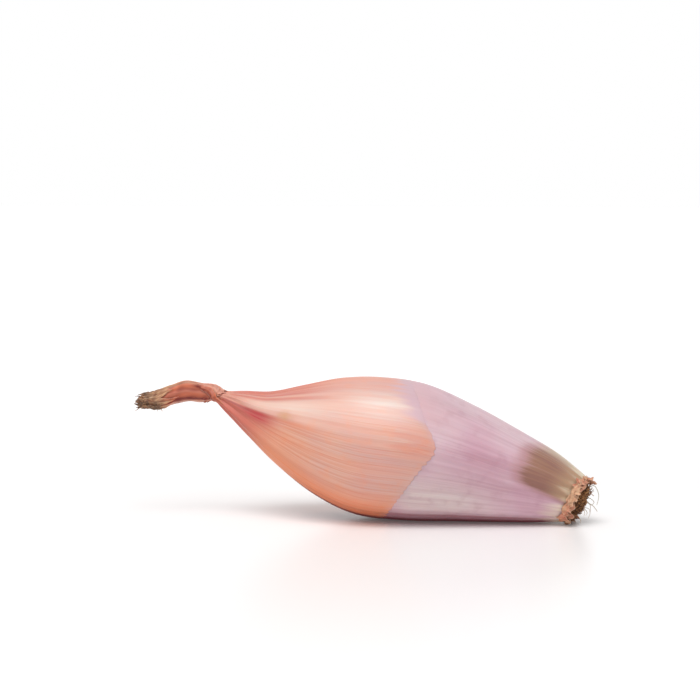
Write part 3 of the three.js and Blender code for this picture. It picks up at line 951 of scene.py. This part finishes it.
def sheathPiece(name, seed, material):
    # A patch of the neck's ring: along it run the angle, width and lift; across it the edges curl up,
    # it ripples, and its far end is torn into points.
    facts = {**sheathUsual, **sheaths[name]}
    u, v = grid(np.linspace(0, 1, facts["along"]), np.linspace(-1, 1, facts["across"]))
    phase = np.random.default_rng(seed).uniform(0, 6, 4)
    torn = np.abs(np.sin(3.1 * v + phase[0])) + 0.6 * np.abs(np.sin(8.3 * v + phase[1]))
    run = u * (1 - smoothStep(0.5, 1, u) * facts["ragged"] * torn)
    first, final = facts["stations"]
    station = first + (final - first) * run
    ringRadius = ringAt(station)[3]
    middle = np.radians(alongValues(facts["angles"], run))
    halfWidth = alongValues(facts["widths"], run) / 2 * (1 + 0.09 * np.sin(23 * u + phase[2]) * np.abs(v))
    angle = middle + np.radians(4) * np.sin(9 * u + seed) + v * halfWidth / np.maximum(ringRadius, 1)
    folded = skinRelief(station, middle + facts["drape"] * (angle - middle), ringRadius)
    crumple = 0.08 * np.sin(26 * u + 3.1 * v + seed) * np.sin(11 * u - 2 * v + 2 * seed)
    crumple = crumple * (1 + 1.5 * smoothStep(-4.5, -6, station)) * facts["calm"]
    ribs = 0.13 * np.cos(2 * math.pi * v + phase[3]) * (1 - v * v) + 0.05 * np.cos(14 * v + phase[0])
    ribs = ribs * facts["calm"]
    curl = facts["curl"] * (v * v - 0.3) * halfWidth / 1.3
    reach = (ringRadius + 0.85 * folded) * (1 - 0.22 * smoothStep(-4.2, -5.6, station))
    reach = reach + alongValues(facts["lifts"], run) + curl + crumple + ribs
    thickness = facts["thickness"] * (1 - 0.6 * np.abs(v) ** 6)
    points, faces = sheetSolid(onRing(station, angle, reach), onRing(station, angle, reach - thickness))
    degrees = degreesOf(angle)
    valley = smoothStep(0.06, -0.12, ribs + crumple)
    # Pale rim: the thin edge's paler colour, with painted light that it catches.
    rim = smoothStep(0.62, 0.82, -v) if facts["rimBelow"] else smoothStep(0.84, 0.97, np.abs(v))
    # Painted shade towards the side of lower angles, short of the rim.
    dark = facts["dark"] * (1 - rim) * smoothStep(0.8, -0.5, v)
    shadow = foldShadow(station, degrees) * (name in ("top_leaf", "lower_leaf"))
    # Greyer under the tip: its own grey, with painted shade over it.
    tipGreyAndShadeBelow = 0.8 * smoothStep(-4.2, -5.4, station) * smoothStep(-95, -125, degrees)
    masks = dict.fromkeys(dryMasks, 0 * u)
    masks.update({
        "orange": 0.3 + 0.3 * np.sin(7 * v + 3 * u + seed),
        "copper": facts["copper"] - 0.2 * rim,
        "salmon": 0.8 * facts["blush"] * rim,
        "pale": facts["pale"] * rim + facts["blush"] * (0.8 - 0.4 * valley),
        # Painted shade: in the valleys, beside the crossing fold, and on the dark side.
        "grooveShade": 0.75 * valley * (1 - 0.6 * facts["blush"]) + shadow + dark,
        "tan": facts["tan"] + smoothStep(-3.8, -5.6, station + 0.3 * np.sin(5 * v + seed)),
        "tip": 0.9 * smoothStep(-4.4, -6.6, station) + tipGreyAndShadeBelow,
    })
    values = pointValues(masks, fibreCoords(station, angle), bothFaces)
    return makePiece(name, points, faces, material, values)


frayed = {
    "strands": 48,
    "steps": 9,
    "stations": (-6.6, -4.7),
    "length": (0.6, 2.0),
    "radius": (0.06, 0.17),
    "way": (-0.8, -0.05, -0.15),
    "sag": (0.1, 0, -0.15),
    "farthest": -70.4,  # X that no fibre passes, mm
    "tones": {"copper": (0, 0.6), "pale": (0, 0.4), "tan": (0.5, 1), "tip": (0, 0.9)},
}


def frayedPiece(material):
    # Loose fibres at the neck's tip: start + length * (way * s + bend * s^2), each starting inside it.
    draw = np.random.default_rng(41)
    count = frayed["strands"]
    s = np.linspace(0, 1, frayed["steps"])[None, :, None]
    station = draw.uniform(*frayed["stations"], count)
    angle = draw.uniform(-math.pi, math.pi, count)
    start = onRing(station, angle, ringAt(station)[3] * draw.uniform(0.4, 1.1, count))
    outwards = start - ringAt(station)[0]
    outwards = outwards / (np.linalg.norm(outwards, axis=-1, keepdims=True) + 1e-6)
    way = np.array(frayed["way"]) + 0.4 * outwards + draw.normal(0, 0.35, (count, 3))
    way /= np.linalg.norm(way, axis=-1, keepdims=True)
    bend = draw.normal(0, 0.4, (count, 3)) + np.array(frayed["sag"])
    length = draw.uniform(*frayed["length"], count)
    length = np.minimum(length, (start[:, 0] - frayed["farthest"]) * 0.8)[:, None, None]
    paths = start[:, None] + length * (way[:, None] * s + bend[:, None] * s**2)
    radii = draw.uniform(*frayed["radius"], count)[:, None] * (1 - 0.75 * s[..., 0] ** 2)
    points, faces = tubes(paths, radii)
    values = dict.fromkeys(dryMasks, np.zeros(len(points)))
    for label, span in frayed["tones"].items():
        values[label] = np.repeat(draw.uniform(*span, count), frayed["steps"] * tubeSides)
    values["fibre"] = points / 10
    return makePiece("frayed_fibres", points, faces, material, values)


# Torn collar round the root end

collar = {
    "thickness": 0.13,
    "overTable": (0.05, 0.16),  # mm that its outer and its inner face stay above the table
    "bandGrid": (400, 26),
    "bandBack": 1.3,  # mm of the band over the bulb, on average
    "bandOut": 1.1,  # mm of it past the bulb's end
    "shardGrid": (30, 25),
    "shards": 12,
    "shardHalf": (9, 19),  # degrees
    "shardBack": (-0.6, 1.9),
    "shardLength": (1.2, 2.8),
}

rootMiddle, rootUp, rootSide, _ = (value[0] for value in ringAt([10.0]))
rootWay = np.cross(rootSide, rootUp)  # out of the root end


def overTable(points, least):
    # Pushes points up the root end until they are at least so many mm above the table.
    return points + rootUp * (np.maximum(least - points[..., 2], 0) / rootUp[2])[..., None]


def collarSheet(angle, back, lift, closed=False):
    # A thin sheet back mm over the bulb from its end, or past the end if below 0, and lift mm off the skin.
    station = 10 - np.maximum(back, 0) / outline["rootStationLength"]
    radius = ringAt(station)[3]
    reach = radius + skinRelief(station, angle, radius) + lift
    past = rootWay * np.maximum(-back, 0)[..., None]
    outerGap, innerGap = collar["overTable"]
    outer = overTable(onRing(station, angle, reach) + past, outerGap)
    inner = overTable(onRing(station, angle, reach - collar["thickness"]) + past, innerGap)
    return sheetSolid(outer, inner, closedRows=closed)


def underBulb(angle):
    # 1 where the bulb rests on the collar, 0 elsewhere.
    return smoothStep(0.72, 0.9, -np.cos(angle))


def collarValues(masks, along, angle):
    # The masks, with fibre coordinates three times as dense as the skin's.
    return pointValues(masks, fibreCoords(3 * along, 3 * angle), bothFaces)


def collarBand():
    # The band all round: ragged on both edges, pressed flat where the bulb rests on it.
    around, across = collar["bandGrid"]
    angle, v = grid(roundAngles(around), np.linspace(0, 1, across))
    under = underBulb(angle)
    teeth = np.abs(ripples(angle, 0 * angle, 51, (4, 26), 0, 9))
    back = collar["bandBack"] + 0.7 * bump(degreesOf(angle), -88, 45) - 0.9 * np.cos(angle)
    back = (back + 0.5 * np.cos(5 * angle + 0.4) + 0.6 * teeth) * (1 - under) - 0.5 * under
    out = collar["bandOut"] - 0.4 * np.cos(angle) + 0.5 * ripples(angle, 0 * angle, 53, (3, 20), 0, 9)
    reach = back + (-out - back) * v
    crumple = 0.14 * ripples(angle, 6 * v, 54, (6, 30), 1.2, 11)
    lift = 0.32 + crumple * (1 - 0.7 * under) + 0.16 * np.minimum(0, reach) * (1 - under)
    masks = {
        "tone": 0.55 + 0.35 * ripples(angle, 3 * v, 55, (2, 12), 1),
        "edge": 0.35 * smoothStep(0.16, 0, v) + 0.4 * smoothStep(0.9, 1, v),
        # Painted shade in the crumple hollows and towards the outer edge.
        "grooveShade": 0.75 * smoothStep(0.0, -0.25, crumple) + 0.35 * smoothStep(0.55, 1, v),
    }
    return collarSheet(angle, reach, lift, closed=True), collarValues(masks, v, angle)


def collarShard(draw, turn, half, back, length, lift, curl, tone):
    # One torn shred: u runs outwards and v across. Its sides wave, its end is torn to points, its edges curl.
    along, across = collar["shardGrid"]
    u, v = grid(np.linspace(0, 1, along), np.linspace(-1, 1, across))
    phase = draw.uniform(0, 6, 6)
    waist = 1 - 0.3 * u**2 + 0.16 * np.sin(6 * u + phase[0]) + 0.08 * np.sin(17 * u + phase[1])
    angle = turn + np.radians(half) * v * waist + draw.uniform(-0.25, 0.25) * u
    torn = 0.3 * np.abs(np.sin(3.3 * v + phase[2])) + 0.16 * np.abs(np.sin(9.7 * v + phase[3]))
    under = underBulb(angle)
    reach = back + 0.35 * np.sin(4 * v + phase[4]) - length * u * (1 - torn)
    reach = np.minimum(reach, -0.3 + 3.5 * (1 - under))
    crumple = 0.09 * np.sin(5 * u + 3 * v + phase[5]) * np.cos(3 * v - 3 * u + phase[0])
    crumple = crumple + 0.03 * np.sin(17 * u + 9 * v)
    stand = lift + crumple + curl * (0.3 * v**2 + 0.7 * u**2.5) * (1 - 0.8 * under)
    masks = {
        "tone": tone + 0.18 * np.sin(5 * v + 3 * u + phase[1]),
        "edge": 0.4 * smoothStep(0.8, 1, np.abs(v)) + 0.4 * smoothStep(0.88, 1, u),
        # Painted shade in the crumple hollows and where the shred leaves the band.
        "grooveShade": 0.45 * smoothStep(-0.02, -0.13, crumple) + 0.25 * smoothStep(0.12, 0, u),
    }
    return collarSheet(angle, reach, stand), collarValues(masks, u, angle)


# Shreds that show in front: turn and half-width in degrees, mm over the bulb, length, lift, curl and tone.
frontShards = [
    (-4, 13, 0.3, 1.7, 0.45, 1.1, 0.3), (-30, 14, 1.9, 2.4, 0.5, 0.3, 0.35),
    (-47, 10, 2.7, 2.2, 0.6, 0.4, 0.15), (-66, 25, 2.2, 3.6, 0.8, -0.1, 1.0),
    (-103, 19, 2.3, 3.6, 0.65, 0.1, 0.6), (-133, 19, 2.3, 4.1, 0.55, 0.5, 0.0),
    (-152, 9, 2.8, 2.4, 0.4, 0.9, 0.15),
]


def collarPiece(material):
    # The band and its shreds joined: the front ones as listed, the others spread over the top and back.
    draw = np.random.default_rng(52)
    made = [collarBand()]
    for turn, *others in frontShards:
        made.append(collarShard(draw, math.radians(turn), *others))
    for number in range(collar["shards"]):
        turn = math.radians(14 + 184 * ((number + draw.uniform(-0.4, 0.4)) * 0.382 % 1))
        half, back, length = (draw.uniform(*collar[key]) for key in ("shardHalf", "shardBack", "shardLength"))
        lift, curl, tone = draw.uniform(0.12, 0.35), draw.uniform(-0.3, 0.7), draw.uniform(0, 1)
        made.append(collarShard(draw, turn, half, back, length, lift, curl, tone))
    points, faces = joinParts([sheet for sheet, _ in made])
    labels = made[0][1]
    values = {label: np.concatenate([tones[label] for _, tones in made]) for label in labels}
    return makePiece("torn_collar", points, faces, material, values)


# Root plate and roots

roots = {
    "radius": 5.6,
    "height": 2.35,
    "seatDepth": 1.25,
    "plateGrid": (70, 180),
    "cutRoots": 620,
    "cutSteps": 9,
    "cutLength": (0.8, 2.2),
    "cutRadius": (0.08, 0.2),
    "longSteps": 22,
    "overTable": (0.25, 0.5),  # mm that cut and long roots stay above the table
}


def rootPoint(out, radius, angle):
    # A point of the root end: out along its way, and across it in polar form.
    across = rootUp * np.cos(angle)[..., None] + rootSide * np.sin(angle)[..., None]
    return rootMiddle + rootWay * np.asarray(out)[..., None] + across * np.asarray(radius)[..., None]


def plateHeight(share):
    # Height * sqrt(1 - 0.92 share^2) - 0.4, from the middle at share 0 to the rim at 1.
    return roots["height"] * np.sqrt(np.maximum(0, 1 - 0.92 * share**2)) - 0.4


def platePiece(material):
    # A rough dome of the plate's height plus clumps, with its rim sunk into the bulb and a flat base.
    rows, around = roots["plateGrid"]
    base = [0.02, 0.5, 0.9]
    share, angle = grid(np.append(base, np.linspace(1, 0.02, rows)), roundAngles(around))
    isBase = np.arange(len(share))[:, None] < len(base)
    clumps = ripples(angle, 14 * share, 61, (3, 24), 1.0, 12) * smoothStep(0.02, 0.25, share)
    out = np.where(isBase, -roots["seatDepth"], plateHeight(share) + 0.28 * clumps)
    radius = roots["radius"] * share * (1 + 0.03 * np.cos(7 * angle))
    flat, faces = closedTube(rootPoint(out, radius, angle))
    # Golden on the raised clumps and dark between them: the cork's own tone, with painted light and shade over
    # it.
    tone = withPoles(np.clip(0.2 + 0.2 * clumps, 0, 0.6))
    return makePiece("corky_plate", flat, faces, material, {"tone": tone})


def cutRootsPiece(material):
    # Short dry roots matted over the plate, from the middle out in a sunflower spiral: each rises a little,
    # then lies over along a slow swirl that its neighbours share, so that they clump.
    draw = np.random.default_rng(71)
    count, steps = roots["cutRoots"], roots["cutSteps"]
    number = np.arange(count)
    share = np.sqrt((number + 0.5) / count)
    angle = number * math.pi * (3 - math.sqrt(5)) + draw.normal(0, 0.12, count)
    start = rootPoint(plateHeight(share) - 0.3, roots["radius"] * 0.98 * share, angle)[:, None]
    across, over = share * np.cos(angle), share * np.sin(angle)
    swirl = 2.6 * np.sin(3.1 * across + 1.3) + 2.2 * np.cos(3.7 * over - 0.6 + 2 * across)
    swirl = swirl + draw.normal(0, 0.5, count)
    lying = (rootUp * np.cos(swirl)[:, None] + rootSide * np.sin(swirl)[:, None])[:, None]
    length = draw.uniform(*roots["cutLength"], count)[:, None, None]
    rise = draw.uniform(0.1, 0.5, count)[:, None, None]
    s = np.linspace(0, 1, steps)[None, :, None]
    bend = draw.normal(0, 0.3, (count, 1, 3))
    beat = draw.uniform(2, 7, count)[:, None, None]
    wave = 0.07 * np.cross(lying, rootWay) * np.sin(beat * s + number[:, None, None])
    way = rise * rootWay * np.sin(1.9 * s) + lying * 0.75 * s**1.4 + bend * s**2 + wave
    paths = start + length * way + rootWay * 0.3
    paths[..., 2] = np.maximum(paths[..., 2], roots["overTable"][0])
    radii = draw.uniform(*roots["cutRadius"], count)[:, None] * (1 - 0.4 * s[..., 0])
    points, faces = tubes(paths, radii)
    tone = np.repeat(draw.uniform(0, 1, count) ** 1.8, steps * tubeSides)
    return makePiece("cut_roots", points, faces, material, {"tone": tone})


# Long dry roots as points of out, radius and angle at the root end, with their radius in mm and tone.
longRoots = [
    ([(0.8, 4.6, 0.1), (2.4, 6.4, 0.1), (4.8, 4.75, 0.1), (5.8, 1.9, 0.1)], 0.13, 1.0),
    ([(1.0, 0.8, 0.0), (3.9, 1.2, 0.0), (5.4, 1.05, 0.0), (6.8, 0.36, 0.0)], 0.15, 0.9),
    ([(1.0, 3.0, -2.6), (3.1, 3.9, -2.7), (4.2, 4.6, -2.8), (4.6, 5.6, -2.9)], 0.09, 0.6),
    ([(1.0, 2.0, 0.3), (3.2, 2.6, 0.2), (4.7, 2.2, 0.1), (4.4, 1.0, -0.2)], 0.12, 0.9),
    ([(1.0, 3.4, 1.2), (3.6, 4.4, 1.5), (4.9, 3.8, 2.0), (5.4, 3.4, 2.6)], 0.09, 0.5),
    ([(1.2, 0.5, 2.8), (3.2, 0.9, 2.9), (4.4, 1.5, 3.0), (4.5, 2.4, 3.1)], 0.11, 0.8),
    ([(1.2, 0.6, -2.2), (2.8, 1.0, -2.5), (3.9, 1.9, -2.6), (4.2, 2.9, -2.6)], 0.1, 0.5),
    ([(1.2, 1.2, 2.6), (3.5, 0.7, 2.2), (4.6, 0.3, 3.0), (5.0, 0.9, -2.9)], 0.1, 0.8),
]


def longRootsPiece(material):
    # One strand through the points of each root, which thins towards its end.
    steps = roots["longSteps"]
    paths = []
    for points, *_ in longRoots:
        corners = rootPoint(*np.transpose(points))
        corners[:, 2] = np.maximum(corners[:, 2], roots["overTable"][1])
        paths.append(splineAt(corners, np.linspace(0, len(points) - 1, steps)))
    thin = 1 - 0.45 * np.linspace(0, 1, steps)
    radii = np.array([thick for _, thick, _ in longRoots])[:, None] * thin
    points, faces = tubes(np.array(paths), radii)
    tone = np.repeat([shade for *_, shade in longRoots], steps * tubeSides)
    return makePiece("long_roots", points, faces, material, {"tone": tone})


# Where the outline's own axes lie in the CAD frame: the middles of the two bulbs' boxes meet.
frameShift = np.zeros(3)
ownPoints = bulbPoints()[2].reshape(-1, 3)
low, high = (np.array(corner) * 1000 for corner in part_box("bulb"))
frameShift = (low + high) / 2 - (ownPoints.min(0) + ownPoints.max(0)) / 2
frameShift[2] = 0
print("outline to frame, mm:", frameShift.round(3).tolist())

# Camera at the photograph's viewing angle, and studio light

studio = {
    "azimuth": 8,
    "elevation": 5.5,
    "lens": 100,
    "distance": 573,  # mm
    "aim": (-4.4, 0, 50.05),
    "worldLight": 0.36,
    "sun": ((-0.1, -0.9, 1.5), 1.66, 42),  # from where in metres, strength, and degrees across
    "softbox": ((-0.03, -0.14, 0.55), 0.9, (0.36, 0.3)),  # place, watts, and size in metres
    "table": (244, 242, 242),
    "tableSize": 4,  # metres from its middle to each side
    "tableGap": 0.00005,  # metres that it lies under the shallot
    "tableGlow": (0.06, 0.3),  # light that the table gives off, from the first to the last of tableReach
    "tableReach": (0.06, 0.5),  # metres from the middle
}


def makeCamera():
    # Looks at the aim from the given distance, azimuth and elevation.
    turn, tilt = math.radians(studio["azimuth"]), math.radians(studio["elevation"])
    back = Vector((math.sin(turn) * math.cos(tilt), -math.cos(turn) * math.cos(tilt), math.sin(tilt)))
    data = bpy.data.cameras.new("camera")
    data.lens = studio["lens"]
    data.sensor_width = 36
    data.clip_start = 0.01
    camera = addObject("camera", data)
    aim = Vector((np.array(studio["aim"]) + frameShift) / 1000)
    camera.location = aim + back * studio["distance"] / 1000
    camera.rotation_euler = (-back).to_track_quat("-Z", "Y").to_euler()
    bpy.context.scene.camera = camera


def addLight(name, kind, position, target, power, **settings):
    # A light at the position that points at the target.
    data = bpy.data.lights.new(name, kind)
    data.energy = power
    for key, value in settings.items():
        setattr(data, key, value)
    light = addObject(name, data)
    light.location = position
    light.rotation_euler = (Vector(target) - Vector(position)).to_track_quat("-Z", "Y").to_euler()


def makeStudio():
    # A softbox above, a wide sun from the front, and a world that gives soft light but is seen as white.
    position, power, (wide, deep) = studio["softbox"]
    addLight("topSoftbox", "AREA", position, (0, 0, 0.02), power,
             shape="RECTANGLE", size=wide, size_y=deep, color=(1, 0.99, 0.97))
    position, power, spread = studio["sun"]
    addLight("evenSun", "SUN", position, (0, 0, 0), power, angle=math.radians(spread))
    world = bpy.data.worlds.new("studioWhite")
    bpy.context.scene.world = world
    world.use_nodes = True
    tree = world.node_tree
    tree.nodes.clear()
    white = (1, 1, 1, 1)
    soft = addNode(tree, "ShaderNodeBackground", {"Color": white, "Strength": studio["worldLight"]})
    seen = addNode(tree, "ShaderNodeBackground", {"Color": white, "Strength": 1.0})
    ray = tree.nodes.new("ShaderNodeLightPath").outputs
    direct = calc(tree, "MAXIMUM", ray["Is Camera Ray"], ray["Is Glossy Ray"])
    mixed = addNode(tree, "ShaderNodeMixShader", {0: direct, 1: soft.outputs[0], 2: seen.outputs[0]})
    addNode(tree, "ShaderNodeOutputWorld", {"Surface": mixed.outputs[0]})
    bpy.context.scene.view_settings.view_transform = "Standard"


def makeTable():
    # A flat square, smooth and pale, that glows a little more away from the shallot.
    material, tree, shader = startMaterial("paleTable")
    place = tree.nodes.new("ShaderNodeTexCoord").outputs["Object"]
    away = addNode(tree, "ShaderNodeVectorMath", {0: place}, operation="LENGTH").outputs["Value"]
    glow = ramp(tree, away, *studio["tableReach"], *studio["tableGlow"])
    feed(tree, shader.inputs, {"Base Color": colour(*studio["table"]), "Roughness": 0.3,
                               "Specular IOR Level": 0.32, "Emission Color": (1, 1, 1, 1),
                               "Emission Strength": glow})
    size, height = studio["tableSize"], -studio["tableGap"]
    corners = [(-size, -size, height), (size, -size, height), (size, size, height), (-size, size, height)]
    mesh = bpy.data.meshes.new("table")
    mesh.from_pydata(corners, [], [(0, 1, 2, 3)])
    mesh.materials.append(material)
    addObject("table", mesh)


makeCamera()
makeStudio()
makeTable()
print("camera, light and table ready")

lilacSkin, copperSkin = bulbMaterial(), drySkinMaterial()
tornPaper, cork, rootHair = collarMaterial(), corkMaterial(), hairMaterial()


def place(piece, slot, *nodes):
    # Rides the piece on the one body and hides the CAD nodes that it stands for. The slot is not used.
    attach(piece, "root")
    if nodes:
        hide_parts(*nodes)


place(bulbPiece(lilacSkin), "bulb_skin", "bulb")
place(copperPiece(copperSkin), "bulb_skin")
print("bulb ready")
place(neckPiece(copperSkin), "dried_leaf", "dry_neck")
for seed, name in enumerate(sheaths):
    place(sheathPiece(name, seed, copperSkin), "dried_leaf")
place(frayedPiece(copperSkin), "dried_leaf")
print("neck ready")
place(collarPiece(tornPaper), "torn_papery_skin", "torn_skin")
place(platePiece(cork), "corky_root", "root_plate")
place(cutRootsPiece(cork), "corky_root")
place(longRootsPiece(rootHair), "corky_root")
print("root end ready")
